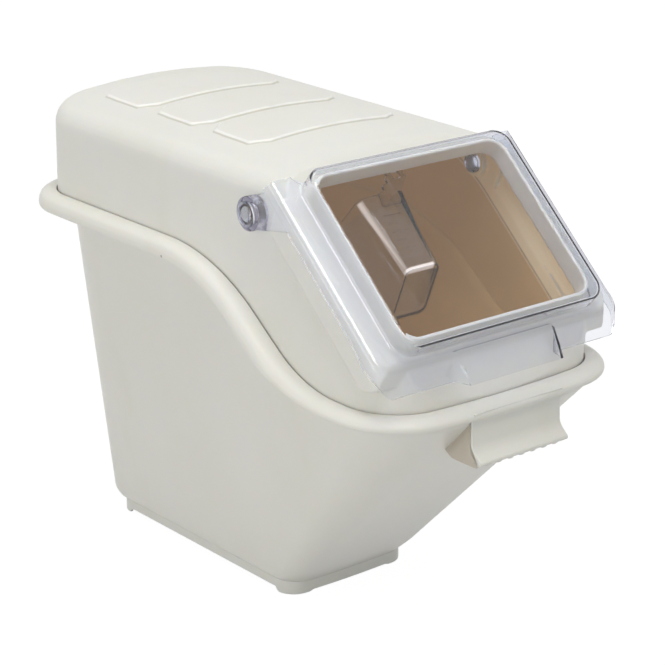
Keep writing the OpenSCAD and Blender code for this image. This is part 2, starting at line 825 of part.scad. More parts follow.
module finger_lip(t) {
    y = -lid_front;
    z = lid_low_z;
    w = grip_half_w - t;
    low = z - (t > 0 ? 4 : 0);
    intersection() {
        side_block([
            [y + 4 + t, z + grip_h + 4 - t], [y + 0.6 + t, z + grip_h - t],
            [y - grip_out * 0.35 + t, z + grip_h * 0.72 - t],
            [y - grip_out * 0.78 + t, z + grip_h * 0.3 - t * 0.5], [y - grip_out + t, low], [y + 4 + t, low]
        ], -w, w);
        translate([0, 0, z - 10])
            linear_extrude(grip_h + 20)
                polygon(rounded([
                    [w, y + 12, 0], [-w, y + 12, 0],
                    [-w, y - grip_out + t, grip_r - t], [w, y - grip_out + t, grip_r - t]
                ], 8));
    }
}

eye_in = half_w + side_play;
eye_out = lid_half_w + 0.5;

module lid_ear(side) {
    x0 = side > 0 ? lid_half_w - lid_wall : -lid_half_w;
    a = slope_point(4, -lid_skirt + 3);
    b = slope_point(46, -lid_skirt + 3);
    difference() {
        union() {
            side_block([[-hinge_y, hinge_z + eye_r], a, b, [-hinge_y - eye_r * 0.6, hinge_z - eye_r * 0.8],
                [-hinge_y, hinge_z - eye_r]], x0, x0 + lid_wall);
            at_hinge(side)
                translate([0, 0, eye_in])
                    cylinder(r = eye_r, h = eye_out - eye_in);
        }
        at_hinge(side)
            translate([0, 0, eye_in - 2])
                cylinder(r = plug_r + eye_play, h = eye_out - eye_in + 6);
    }
}

module flip_lid() {
    under = [
        [-lid_front + lid_wall, lid_low_z - 50], [40 - lid_top_y, lid_low_z - 50], [40 - lid_top_y, lid_top_z]
    ];
    skirt = [[lid_wall - lid_front, lid_low_z], slope_point(slope_len - 12, -lid_skirt - 6),
        slope_point(slope_len - 18, -lid_skirt), slope_point(0, -lid_skirt)];
    color(clear)
    union() {
        difference() {
            union() {
                lid_block(0, skirt);
                dome(0);
                finger_lip(0);
            }
            lid_block(lid_wall, under);
            dome(lid_wall);
            finger_lip(lid_wall);
            // The raised middle's back wall stops short of the roof, so it clears it when it swings
            slope_block(dome_half_w, -5, dome_top + lid_wall + 1, -8, relief_h, 0);
        }
        lid_ear(-1);
        lid_ear(1);
    }
}

// ---------------------------------------------------------------- hinge plugs

plug_in = half_w - hood_wall - boss_in - 2;
plug_out = eye_out + side_play;

module pivot_plug(side) {
    color(clear)
    at_hinge(side)
        difference() {
            union() {
                translate([0, 0, plug_in])
                    cylinder(r = plug_r, h = plug_out - plug_in + 0.5);
                translate([0, 0, plug_out])
                    cylinder(r = plug_head_r, h = plug_head_t);
            }
            translate([0, 0, plug_in + plug_wall])
                cylinder(r = plug_r - plug_wall, h = plug_out - plug_in + 10);
        }
}

module left_pivot_plug() {
    pivot_plug(-1);
}

module right_pivot_plug() {
    pivot_plug(1);
}

// ---------------------------------------------------------------- scoop and its hook

// Section of the cup, x across and its front wall along y = 0
function cup_section(w, deep, r, t) =
    rounded([[-w + t, -t, r], [-w + t, t - deep, r], [w - t, t - deep, r], [w - t, -t, r]], 6);

module cup(t) {
    hull() {
        translate([-scoop_x, (t > 0 ? 2 : 0) - scoop_top, -scoop_under])
            rotate([90, 0, 0])
                linear_extrude(tiny)
                    polygon(cup_section(scoop_half_w, scoop_deep, scoop_r - t, t));
        translate([-scoop_x, t - scoop_top - scoop_len, -scoop_under])
            rotate([90 - scoop_end_lean, 0, 0])
                linear_extrude(tiny)
                    polygon(cup_section(scoop_end_half_w, scoop_end_deep, scoop_r - 2 - t, t));
    }
}

// The handle rises from the cup's front wall, with one side waved for the fingers
module scoop_handle() {
    y0 = -scoop_top;
    wave = [for (k = [0 : 20]) let (f = k / 20, a = 1.2 * sin(900 * f))
        [hook_x - 28 + 19 * f - a, y0 - 1 + 16 * f + a]];
    translate([0, 0, -scoop_under - grip_t])
        difference() {
            linear_extrude(grip_t)
                polygon(concat(
                    [[hook_x - 31, y0 - 12]], wave,
                    [[hook_x - 9, handle_end - 3], [hook_x - 7, handle_end], [hook_x + 7, handle_end],
                     [hook_x + 9, handle_end - 3], [hook_x + 9, y0 + 12], [hook_x - 4, y0 - 1],
                     [hook_x - 6, y0 - 12]]
                ));
            translate([hook_x - slot_half_w, handle_end - bar_w - slot_len, -1])
                cube([2 * slot_half_w, slot_len, grip_t + 2]);
        }
}

module scoop_marks() {
    for (i = [0 : mark_count - 1])
        translate([-scoop_x - 10, -scoop_top - 22 - i * 8.6, -scoop_under - 0.5])
            cube([i % 2 == 0 ? 18 : 11, 1.2, 0.5 + mark_t]);
}

module scoop() {
    color(clear)
    on_slope()
        union() {
            difference() {
                cup(0);
                cup(scoop_wall);
            }
            scoop_handle();
            scoop_marks();
        }
}

// Hook: a base staked under the roof, a shank, and a turned-up toe that passes through the handle's slot
module scoop_hook() {
    color(ivory)
    difference() {
        union() {
            translate([hook_x - hook_base_half_w, hook_base_y - hook_base_half_l, hook_base_z - hook_t])
                cube([2 * hook_base_half_w, 2 * hook_base_half_l, hook_t]);
            side_block([
                [shank_y, hook_base_z - 0.5], [shank_y, trough_z], [toe_y + hook_t, trough_z],
                [toe_y + hook_t, trough_z + toe_h], [toe_y, trough_z + toe_h], [toe_y, trough_z - hook_t],
                [shank_y + hook_t, trough_z - hook_t], [shank_y + hook_t, hook_base_z - 0.5]
            ], hook_x - hook_w / 2, hook_x + hook_w / 2);
        }
        for (dy = [-stud_dy, stud_dy])
            translate([hook_x, hook_base_y + dy, hook_base_z - hook_t - 2])
                cylinder(r = stud_r + plug_play, h = hook_t + 4, $fn = 32);
    }
}

tub();
hood();
flip_lid();
left_pivot_plug();
right_pivot_plug();
scoop();
scoop_hook();
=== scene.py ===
# %% [markdown]
# # A rice bin with a flip lid
# The bin is two big moulded shells, a tub and a hood, with a clear lid that swings up over a sloping
# opening and a clear scoop hung inside. The frame gives the bodies and where each piece belongs. Here
# each piece gets the soft edges and the finish that moulded plastic has.

# %% Load the frame
import math

import bmesh
import bpy
import numpy as np
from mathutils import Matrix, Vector


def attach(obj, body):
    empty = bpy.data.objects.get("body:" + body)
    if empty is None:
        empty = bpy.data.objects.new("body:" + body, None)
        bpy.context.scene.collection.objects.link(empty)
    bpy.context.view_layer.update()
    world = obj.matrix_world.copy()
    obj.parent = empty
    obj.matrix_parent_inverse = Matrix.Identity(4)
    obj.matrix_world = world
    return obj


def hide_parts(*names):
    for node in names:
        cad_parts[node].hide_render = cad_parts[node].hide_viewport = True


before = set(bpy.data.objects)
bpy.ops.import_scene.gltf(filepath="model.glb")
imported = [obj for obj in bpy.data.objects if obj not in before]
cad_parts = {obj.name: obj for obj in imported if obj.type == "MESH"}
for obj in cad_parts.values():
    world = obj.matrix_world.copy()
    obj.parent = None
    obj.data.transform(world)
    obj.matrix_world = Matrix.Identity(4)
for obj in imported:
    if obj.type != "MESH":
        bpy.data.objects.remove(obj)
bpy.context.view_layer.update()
print("frame loaded:", ", ".join(sorted(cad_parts)))

# %% [markdown]
# ## The camera
# The bin is seen from its front left corner and a little above, from far away through a long lens, so
# that its upright edges stay nearly parallel. A camera is placed best by what it looks at: a target
# point, a turn round it, a height angle and a distance.

# %% Place the camera
view_turn, view_rise = math.radians(-39.3), math.radians(19.3)
view_target, view_distance, view_lens = Vector((0, -0.0267, 0.2385)), 2.208, 129.9
view_back = Vector((
    math.sin(view_turn) * math.cos(view_rise),
    -math.cos(view_turn) * math.cos(view_rise),
    math.sin(view_rise),
))
camera_data = bpy.data.cameras.new("camera")
camera_data.sensor_width = 36
camera_data.lens = view_lens
camera_data.clip_end = 50
camera = bpy.data.objects.new("camera", camera_data)
camera.location = view_target + view_back * view_distance
camera.rotation_euler = view_back.to_track_quat("Z", "Y").to_euler()
bpy.context.scene.collection.objects.link(camera)
bpy.context.scene.camera = camera
print("camera at", [round(v, 3) for v in camera.location])

# %% [markdown]
# ## Sizes
# The same sizes that the solids were drawn from, in millimetres. +Z is up and the front faces -Y.

# %% Sizes of the tub and hood
half_w, front_y, back_y = 127, 258.5, 267
corner_front, corner_back, front_bow = 52, 50, 900
seam_back_z, seam_front_z = 338.5, 249
step_y, step_angle, step_top_r, step_low_r = 48, math.radians(36), 210, 130
rim_w, rim_swell, rim_h, rim_front_h, rim_lip = 18.5, 3.5, 14.6, 10.2, 3
rim_grow_h, under_rim = 30, 1.5
tub_wall, hood_wall, lap, seat_gap, ledge_gap = 3.3, 3, 8, 0.4, 0.5
foot_half_w, foot_front, foot_back, foot_r, foot_out, foot_h = 68, 54, 227, 20, 3.5, 12
foot_relief, foot_pad = 4.2, 22
heel_h, heel_out, heel_back_out, heel_front_out, heel_front_r, heel_back_r = 29, 9.5, 12.5, 19, 26, 22
wall_half_w, wall_front, wall_back, wall_front_r, wall_back_r = 124, 270.5, 264.5, 60, 80
roof_z, crown_r = 432.7, 676
slope, lid_top = math.radians(42), np.array([-111.8, 425.2])
down_slope = np.array([-math.cos(slope), -math.sin(slope)])
out_slope = np.array([-math.sin(slope), math.cos(slope)])


def off_slope(y, z):
    """How far a place stands out from the face of the lid's sloping flange."""
    return out_slope[0] * (y - lid_top[0]) + out_slope[1] * (z - lid_top[1])


# %% [markdown]
# ## The joint between tub and hood
# Seen from the side the joint runs level along the back, bends down, falls at 36 degrees and bends
# level again at the front. Both shells follow it, so it is written once as a height for each place.

# %% The joint's height and its plan outline
run_y = step_y - step_top_r * math.sin(step_angle)
run_z = seam_back_z - step_top_r * (1 - math.cos(step_angle))
run_drop = run_z - seam_front_z - step_low_r * (1 - math.cos(step_angle))
bend_y = run_y - run_drop / math.tan(step_angle)
level_y = bend_y - step_low_r * math.sin(step_angle)


def seam_z(y):
    """Height of the joint at each y."""
    y = np.asarray(y, float)
    upper = seam_back_z - step_top_r + np.sqrt(np.maximum(step_top_r**2 - (step_y - y) ** 2, 0))
    lower = seam_front_z + step_low_r - np.sqrt(np.maximum(step_low_r**2 - (y - level_y) ** 2, 0))
    straight = run_z - (run_y - y) * math.tan(step_angle)
    return np.select(
        [y >= step_y, y >= run_y, y >= bend_y, y >= level_y],
        [seam_back_z, upper, straight, lower],
        seam_front_z,
    )


def fall(y):
    """How far a height stretches where the joint slopes."""
    y = np.asarray(y, float)
    upper = step_top_r / np.sqrt(np.maximum(step_top_r**2 - (step_y - y) ** 2, 1))
    lower = step_low_r / np.sqrt(np.maximum(step_low_r**2 - (y - level_y) ** 2, 1))
    return np.select(
        [y >= step_y, y >= run_y, y >= bend_y, y >= level_y],
        [1, upper, 1 / math.cos(step_angle), lower],
        1,
    )


def plan_outline(half_width, front, back, front_r, back_r):
    """Stations [x, y, outward x, outward y] round a plan shape with a bowed front, anticlockwise."""
    front_x, bow_y = half_width - front_r, front_bow - front
    corner_y = bow_y - math.sqrt((front_bow - front_r) ** 2 - front_x**2)
    turn = math.asin(front_x / (front_bow - front_r))
    back_x, back_corner_y = half_width - back_r, back - back_r
    half = []
    for a in np.linspace(0, turn, 24, endpoint=False):
        x, y = front_bow * math.sin(a), bow_y - front_bow * math.cos(a)
        half.append((x, y, math.sin(a), -math.cos(a)))
    for a in np.linspace(turn, math.pi / 2, 17):
        x, y = front_x + front_r * math.sin(a), corner_y - front_r * math.cos(a)
        half.append((x, y, math.sin(a), -math.cos(a)))
    for y in np.linspace(corner_y, back_corner_y, 97)[1:-1]:
        half.append((half_width, y, 1, 0))
    for a in np.linspace(0, math.pi / 2, 17):
        x, y = back_x + back_r * math.cos(a), back_corner_y + back_r * math.sin(a)
        half.append((x, y, math.cos(a), math.sin(a)))
    for x in np.linspace(back_x, 0, 25)[1:]:
        half.append((x, back, 0, 1))
    half = np.array(half)
    other = half[-2:0:-1] * (-1, 1, -1, 1)
    return np.vstack([half, other])


joint = plan_outline(half_w, front_y, back_y, corner_front, corner_back)
print("stations round the joint:", len(joint))

# %% [markdown]
# ## From points to a piece
# A moulded shell is a stack of closed rings. Each ring has the same number of points, so the faces are
# a plain grid and the shading runs smoothly. Sharp corners of a path are cut back and replaced by a
# short curve, as a mould has no sharp corners.


# %% Helpers that make a mesh piece
def new_piece(name, points, faces, sharp=40):
    """A mesh object from points in millimetres, shaded smooth except across sharp edges."""
    mesh = bpy.data.meshes.new(name)
    mesh.from_pydata((np.asarray(points, float) / 1000).tolist(), [], faces)
    mesh.validate()
    mesh.shade_smooth()
    mesh.set_sharp_from_angle(angle=math.radians(sharp))
    piece = bpy.data.objects.new(name, mesh)
    bpy.context.scene.collection.objects.link(piece)
    return piece


def ring_faces(rings, around):
    """Quads between stacked closed rings."""
    i, j = np.meshgrid(np.arange(rings - 1), np.arange(around), indexing="ij")
    k = (j + 1) % around
    low, high = i * around, (i + 1) * around
    return np.stack([low + j, low + k, high + k, high + j], -1).reshape(-1, 4).tolist()


def curve(start, corner, end, steps):
    """Points of a curve that leaves start towards the corner and reaches end coming from it."""
    parts = np.linspace(0, 1, steps + 1)
    return [(1 - t) ** 2 * start + 2 * t * (1 - t) * corner + t * t * end for t in parts]


def soften(path, cuts, steps=4):
    """Replaces each inner corner of an open path by a curve that starts cut before it, or just under
    half way along the side where that is less."""
    path = np.asarray(path, float)
    soft = [path[0]]
    for before, corner, after, cut in zip(path, path[1:], path[2:], cuts):
        if cut <= 0:
            soft.append(corner)
            continue
        back, on = before - corner, after - corner
        back_length, on_length = np.linalg.norm(back), np.linalg.norm(on)
        cut = min(cut, 0.48 * back_length, 0.48 * on_length)
        start, end = corner + back * cut / back_length, corner + on * cut / on_length
        soft += curve(start, corner, end, steps)
    soft.append(path[-1])
    return np.array(soft)


# %% [markdown]
# ## The tub
# The tub's wall leaves a small foot, bends out over a round heel and flares up to a rolled rim that
# follows the joint. One profile is drawn for each station round the plan and the profiles are laid side
# by side. The rim is hollow underneath, and a ledge inside it carries the hood.


# %% Build the tub's shell
def heel_ring(part, inset):
    """Outline part way (0 to 1) up the rounded bottom edge, moved in by the inset, with its height."""
    out, rise = math.sin(math.pi / 2 * part), 1 - math.cos(math.pi / 2 * part)
    ring = plan_outline(
        foot_half_w + heel_out * out - inset,
        foot_front + heel_front_out * rise - inset,
        foot_back + heel_back_out * out - inset,
        foot_r + (heel_front_r - foot_r) * out - inset,
        foot_r + (heel_back_r - foot_r) * out - inset,
    )
    return np.column_stack([ring[:, :2], np.full(len(ring), foot_h + (heel_h - foot_h) * rise)])


def rim_path(y, wall_at):
    """Section of the rim where the wall stands wall_at out from the joint: rows of the distance out
    from the joint, the height over it and how much of the corner is cut back."""
    w = rim_w + rim_swell * (fall(y) - 1) / (1 / math.cos(step_angle) - 1)
    h = rim_front_h + (rim_h - rim_front_h) * min(1, (seam_z(y) - seam_front_z) / rim_grow_h)
    room = w - rim_lip - wall_at
    deep = min(h - rim_lip - 1.6, max(0.3, room - 4))
    return [
        (w - rim_lip - min(5.5, room * 0.6), deep - h, 1.5),
        (w - rim_lip - min(1.6, room * 0.25), deep * 0.55 - h, 1.5),
        (w - rim_lip, -h, 0.8),
        (w - 0.8, -h - 0.6, 0.8),
        (w, -h + 1.6, 0.9),
        (w - 0.2, -h * 0.6, 2),
        (w - 2.2, -3.6, 2.4),
        (w - 6, -0.9, 2.4),
        (w * 0.45, 0.5, 3),
        (seat_gap + 1, 0.3, 0.7),
        (seat_gap, -0.6, 0.4),
        (seat_gap, -lap - ledge_gap, 0.6),
        (-hood_wall - seat_gap, -lap - ledge_gap, 0.8),
    ]


def wall_top_z(y):
    """Height at which the wall turns into the rim."""
    return float(seam_z(y) - (rim_h + under_rim) * fall(y))


wall_out = plan_outline(wall_half_w, wall_front, wall_back, wall_front_r, wall_back_r)
wall_in = plan_outline(
    wall_half_w - tub_wall, wall_front - tub_wall, wall_back - tub_wall,
    wall_front_r - tub_wall, wall_back_r - tub_wall,
)
heel_levels, wall_top_cut = np.linspace(0, 1, 9), 3
heel_outer = [heel_ring(part, 0) for part in heel_levels]
heel_inner = [heel_ring(part, tub_wall) + (0, 0, tub_wall) for part in heel_levels[::-1]]
profiles = []
for i, (x, y, nx, ny) in enumerate(joint):
    (out_x, out_y), (in_x, in_y) = wall_out[i, :2], wall_in[i, :2]
    path = [ring[i] for ring in heel_outer] + [(out_x, out_y, wall_top_z(out_y))]
    cuts = [0] * len(heel_outer) + [wall_top_cut]
    for out, up, cut in rim_path(y, (out_x - x) * nx + (out_y - y) * ny):
        path.append((x + nx * out, y + ny * out, float(seam_z(y) + up * fall(y))))
        cuts.append(cut)
    path.append((in_x, in_y, wall_top_z(in_y)))
    cuts.append(wall_top_cut)
    path += [ring[i] for ring in heel_inner]
    cuts += [0] * len(heel_inner)
    profiles.append(soften(path, cuts[1:-1]))
profiles = np.array(profiles)
around, rings = profiles.shape[:2]
tub_points = profiles.transpose(1, 0, 2).reshape(-1, 3)
tub_faces = ring_faces(rings, around)
tub_faces.append(list(range(around))[::-1])
tub_faces.append([(rings - 1) * around + i for i in range(around)])
tub_shell = new_piece("tub_shell", tub_points, tub_faces, 50)
print("tub shell:", len(tub_points), "points")

# %% [markdown]
# ## The foot ring
# Under the heel runs a narrow ring. Its lower edge is cut back between four corner pads, so the bin
# stands on its corners even on a shelf that isn't quite flat.

# %% Build the foot ring
foot_outer = plan_outline(foot_half_w + foot_out, foot_front, foot_back, foot_r, foot_r)


def smooth_step(t):
    """0 before 0, 1 after 1 and a soft step between."""
    t = np.clip(t, 0, 1)
    return t * t * (3 - 2 * t)


def step_up(x, edge, width=3.0):
    """0 before an edge and 1 after it, with a soft step as wide as the width."""
    return smooth_step((x - edge) / width + 0.5)


foot_x, foot_y = foot_outer[:, 0], foot_outer[:, 1]
pad_side = step_up(foot_y, foot_pad - foot_front) * step_up(-foot_y, foot_pad - foot_back)
pad_ends = step_up(foot_half_w - np.abs(foot_x), foot_pad)
foot_low = np.maximum(foot_relief * pad_side, foot_relief / 3 * pad_ends)
foot_profiles = []
for (x, y, nx, ny), low in zip(foot_outer, foot_low):
    section = [
        (foot_out + 0.8, foot_h + 1.5), (0, foot_h + 1.2),
        (0, low), (tub_wall, low), (tub_wall, foot_h + 0.4),
    ]
    path = [(x - nx * inward, y - ny * inward, z) for inward, z in section]
    foot_profiles.append(soften(path, [1.2, 0.8, 0.8], 3))
foot_profiles = np.array(foot_profiles)
foot_ring = new_piece(
    "foot_ring",
    foot_profiles.transpose(1, 0, 2).reshape(-1, 3),
    ring_faces(foot_profiles.shape[1], len(foot_outer)),
    50,
)
print("foot ring:", len(foot_ring.data.vertices), "points")

# %% [markdown]
# ## The pull handle
# A plate hangs from the front of the rim and flares into a lip for the fingers. Two cheeks tie it back
# to the tub's wall. Each is a flat shape seen from the side, drawn out sideways.


# %% Build the pull handle
def drawn_out(name, rows, x0, x1):
    """A closed side shape drawn out from x0 to x1, from rows [y, z, how much of the corner is cut]."""
    rows = np.asarray(rows, float)
    outline, cuts = rows[:, :2], rows[:, 2]
    soft = soften(np.vstack([outline[-1:], outline, outline[:1]]), cuts)[1:-1]
    n = len(soft)
    points = [(x, y, z) for x in (x0, x1) for y, z in soft]
    faces = [[i, (i + 1) % n, n + (i + 1) % n, n + i] for i in range(n)]
    faces += [list(range(n))[::-1], [n + i for i in range(n)]]
    return new_piece(name, points, faces)


def bake_modifiers(piece):
    """Turns a piece with modifiers into a plain mesh with the same shape."""
    graph = bpy.context.evaluated_depsgraph_get()
    mesh = bpy.data.meshes.new_from_object(piece.evaluated_get(graph))
    piece.modifiers.clear()
    old = piece.data
    piece.data = mesh
    bpy.data.meshes.remove(old)
    mesh.name = piece.name
    return piece


def bevelled(piece, width, angle, sharp):
    """Rounds the edges that bend more than the angle by width millimetres and bakes that in. Only edges
    that still bend more than sharp are shaded as edges."""
    bevel = piece.modifiers.new("soft_edges", "BEVEL")
    bevel.width = width / 1000
    bevel.segments = 2
    bevel.limit_method = "ANGLE"
    bevel.angle_limit = math.radians(angle)
    bake_modifiers(piece)
    piece.data.shade_smooth()
    piece.data.set_sharp_from_angle(angle=math.radians(sharp))
    return piece


def outward_and_bevelled(piece, width):
    """Turns the faces outwards and rounds the edges."""
    shape = bmesh.new()
    shape.from_mesh(piece.data)
    bmesh.ops.recalc_face_normals(shape, faces=shape.faces)
    shape.to_mesh(piece.data)
    shape.free()
    return bevelled(piece, width, 35, 50)


rim_low_z = seam_front_z - rim_front_h
pull_half_w, pull_lip, pull_t, pull_inset, pull_drop = 51, 10.5, 3.2, 3.5, 39.5
pull_y = -(front_y + rim_w - pull_inset)
pull_low_z = rim_low_z - pull_drop
heel_front = foot_front + heel_front_out


def tub_front_y(z):
    """Where the tub's front wall stands at height z."""
    top_z = seam_front_z - rim_h - under_rim
    return -heel_front - (z - heel_h) * (wall_front - heel_front) / (top_z - heel_h)


y, z = pull_y, pull_low_z
plate_side = [
    (y - 2.4, rim_low_z + 6, 0.4), (y + 1, rim_low_z - 2, 5), (y + 0.6, z + 25, 5), (y, z + 15, 4),
    (y - 2.6, z + 10.5, 4), (y - pull_lip * 0.72, z + 6.4, 2.5), (y - pull_lip, z + 3.8, 1.2),
    (y - pull_lip, z + 1.4, 1), (y - pull_lip + 1.6, z, 1), (y - pull_lip + 4.5, z + 0.6, 2),
    (y - pull_lip + pull_t + 3.8, z + 3.6, 3), (y - 2.6 + pull_t, z + 8, 4),
    (y + pull_t - 0.4, z + 13.5, 3), (y + pull_t, z + 20, 3), (y + pull_t, rim_low_z + 6, 0),
]
pull_plate = outward_and_bevelled(drawn_out("pull_plate", plate_side, -pull_half_w, pull_half_w), 0.8)
cheek_in, cheek_top_z = tub_wall * 0.6, rim_low_z - 9
cheek_side = [
    (y + 1.4, rim_low_z - 1, 0), (y + 1.4, z + 16, 3), (y - pull_lip + 3, z + 2.5, 1.5),
    (y - pull_lip + 5, z - 2.5, 2), (tub_front_y(z + 3) - 7, z - 2.5, 3),
    (tub_front_y(z + 3) + cheek_in, z + 3, 0), (tub_front_y(cheek_top_z) + cheek_in, cheek_top_z, 0),
]
pull_cheeks = [
    outward_and_bevelled(drawn_out(name, cheek_side, x0, x0 + pull_t), 0.7)
    for name, x0 in (("left_pull_cheek", -pull_half_w), ("right_pull_cheek", pull_half_w - pull_t))
]
print("pull handle:", [round(v * 1000, 1) for v in pull_plate.dimensions])

# %% [markdown]
# ## The finger teeth
# Under the lip hangs a row of small rounded teeth that keep fingers from slipping. They are one shape
# repeated, which is work for Geometry Nodes: a line of points, a small ball squashed at each, and the
# copies made real. Its inputs are the count, the start, the spacing, the size and the finish, so the
# row can be changed later.


# %% Helpers for Geometry Nodes trees, and the row of teeth
def new_tree(name, inputs):
    """An empty Geometry Nodes tree with named inputs; returns it with its input and output nodes."""
    tree = bpy.data.node_groups.new(name, "GeometryNodeTree")
    for label, kind in inputs:
        tree.interface.new_socket(label, in_out="INPUT", socket_type=kind)
    tree.interface.new_socket("Geometry", in_out="OUTPUT", socket_type="NodeSocketGeometry")
    return tree, tree.nodes.new("NodeGroupInput"), tree.nodes.new("NodeGroupOutput")


def run_tree(name, tree, values):
    """Runs a tree on an empty mesh and returns the result as a plain mesh piece."""
    piece = bpy.data.objects.new(name, bpy.data.meshes.new(name))
    bpy.context.scene.collection.objects.link(piece)
    modifier = piece.modifiers.new("made_by_nodes", "NODES")
    modifier.node_group = tree
    for item in tree.interface.items_tree:
        if item.in_out == "INPUT" and item.name in values:
            modifier[item.identifier] = values[item.name]
    piece.update_tag()
    return bake_modifiers(piece)


def row_of(name, count, pitch, size, start, material):
    """A row of squashed balls along X, pitch apart, each of size (x, y, z), all in metres."""
    tree, given, made = new_tree(name, [
        ("Count", "NodeSocketInt"), ("Start", "NodeSocketVector"), ("Step", "NodeSocketVector"),
        ("Size", "NodeSocketVector"), ("Finish", "NodeSocketMaterial"),
    ])
    kinds = "MeshLine MeshUVSphere InstanceOnPoints RealizeInstances SetShadeSmooth SetMaterial".split()
    line, ball, place, real, smooth, finish = [tree.nodes.new("GeometryNode" + kind) for kind in kinds]
    for label, value in (("Segments", 24), ("Rings", 14), ("Radius", 1)):
        ball.inputs[label].default_value = value
    for start_node, outlet, end_node, inlet in (
        (given, "Count", line, "Count"),
        (given, "Start", line, "Start Location"),
        (given, "Step", line, "Offset"),
        (line, "Mesh", place, "Points"),
        (ball, "Mesh", place, "Instance"),
        (given, "Size", place, "Scale"),
        (place, "Instances", real, "Geometry"),
        (real, "Geometry", smooth, "Geometry"),
        (smooth, "Geometry", finish, "Geometry"),
        (given, "Finish", finish, "Material"),
        (finish, "Geometry", made, "Geometry"),
    ):
        tree.links.new(start_node.outputs[outlet], end_node.inputs[inlet])
    return run_tree(name, tree, {
        "Count": count, "Start": start, "Step": (pitch, 0, 0), "Size": size, "Finish": material,
    })


ivory = bpy.data.materials.new("ivory_plastic")
tooth_pitch, tooth_count, tooth_size = 0.013, 7, (0.0048, 0.0032, 0.0030)
first_tooth = (-tooth_pitch * (tooth_count - 1) / 2, (pull_y - 5.6) / 1000, (pull_low_z + 0.7) / 1000)
finger_teeth = row_of("finger_teeth", tooth_count, tooth_pitch, tooth_size, first_tooth, ivory)
print("teeth:", tooth_count, "with", len(finger_teeth.data.polygons), "faces")

# %% [markdown]
# ## The hood
# The hood joins many shapes: a crowned roof with pads, a wider sloping frame and a raised rim round the
# opening. On the moulded part they all flow into each other. A copy of its solid is remeshed on a fine
# grid and then smoothed a little, which rounds every edge and fillets every inner corner at once.


# %% Copy a solid and make it one merged mesh
def solid_copy(name, node):
    """A copy of a CAD node's mesh under a new name, with its loose triangles merged."""
    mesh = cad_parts[node].data.copy()
    mesh.name = name
    mesh.materials.clear()
    piece = bpy.data.objects.new(name, mesh)
    bpy.context.scene.collection.objects.link(piece)
    shape = bmesh.new()
    shape.from_mesh(mesh)
    bmesh.ops.remove_doubles(shape, verts=shape.verts, dist=0.00002)
    bmesh.ops.recalc_face_normals(shape, faces=shape.faces)
    shape.to_mesh(mesh)
    shape.free()
    return piece


def remoulded(name, node, voxel, smoothing, share):
    """A solid's copy on a fine grid with its edges melted, and then thinned to a share of its faces."""
    piece = solid_copy(name, node)
    grid = piece.modifiers.new("grid", "REMESH")
    grid.mode = "VOXEL"
    grid.voxel_size = voxel
    grid.use_smooth_shade = True
    melt = piece.modifiers.new("melt", "SMOOTH")
    melt.factor = 0.5
    melt.iterations = smoothing
    thin = piece.modifiers.new("thin", "DECIMATE")
    thin.ratio = share
    bake_modifiers(piece)
    piece.data.shade_smooth()
    return piece


hood_shell = remoulded("hood_shell", "hood", voxel=0.0014, smoothing=3, share=0.3)
print("hood:", len(hood_shell.data.polygons), "faces")

# %% [markdown]
# ## The clear pieces
# The lid, the scoop and the hinge plugs are clear. What makes clear plastic look real is its edges:
# they catch light as thin bright lines. So each solid's flat faces are joined and its edges get a small
# round, and the walls keep their true thickness. The scoop's ivory hook is made in the same way.


# %% Copy the small solids with rounded edges
def soft_copy(name, node, width):
    """A solid's copy with its flat faces joined up and its sharp edges rounded by width millimetres."""
    piece = solid_copy(name, node)
    shape = bmesh.new()
    shape.from_mesh(piece.data)
    bmesh.ops.dissolve_limit(shape, angle_limit=math.radians(0.6), verts=shape.verts, edges=shape.edges)
    shape.to_mesh(piece.data)
    shape.free()
    return bevelled(piece, width, 30, 40)


scoop_clear = soft_copy("scoop_clear", "scoop", 0.3)
left_plug = soft_copy("left_plug", "left_pivot_plug", 0.4)
right_plug = soft_copy("right_plug", "right_pivot_plug", 0.4)
hook_soft = soft_copy("hook_soft", "scoop_hook", 0.5)
print("scoop:", len(scoop_clear.data.polygons), "faces")

# %% [markdown]
# ## The flip lid
# The lid is one moulded sheet of even thickness. From the middle outwards it runs over a raised dome,
# down its wall, across a flange and over a well rounded edge into a skirt. In front the skirt swells
# into a lip for the fingers. So it is drawn as one skin: a path for each station round the dome, from
# the dome's middle to the skirt's lower edge. Solidify then gives the skin its wall.


# %% Stations round the dome
lid_half_w, lid_wall, lid_front, lid_low_z, lid_skirt, lid_corner = 139, 2.5, 257.5, 270.5, 12, 14
dome_half_w, dome_h, dome_top, dome_end, dome_corner, dome_edge = 113.5, 19.6, 5.5, 188.07, 16, 4
dome_face_in, dome_foot_r, relief_h, knee_r, front_cut, corner_rise = 0.8, 2.4, 7, 9, 3.6, 17
grip_half_w, grip_out, grip_rise, grip_blend = 59, 15.5, 29, 6
flange_stops, flange_reach = 0.62, 1.6


def on_lid(u, s, h):
    """The place u across, s down the slope and h off the flange's face."""
    y, z = lid_top + down_slope * s + out_slope * h
    return np.array([u, y, z])


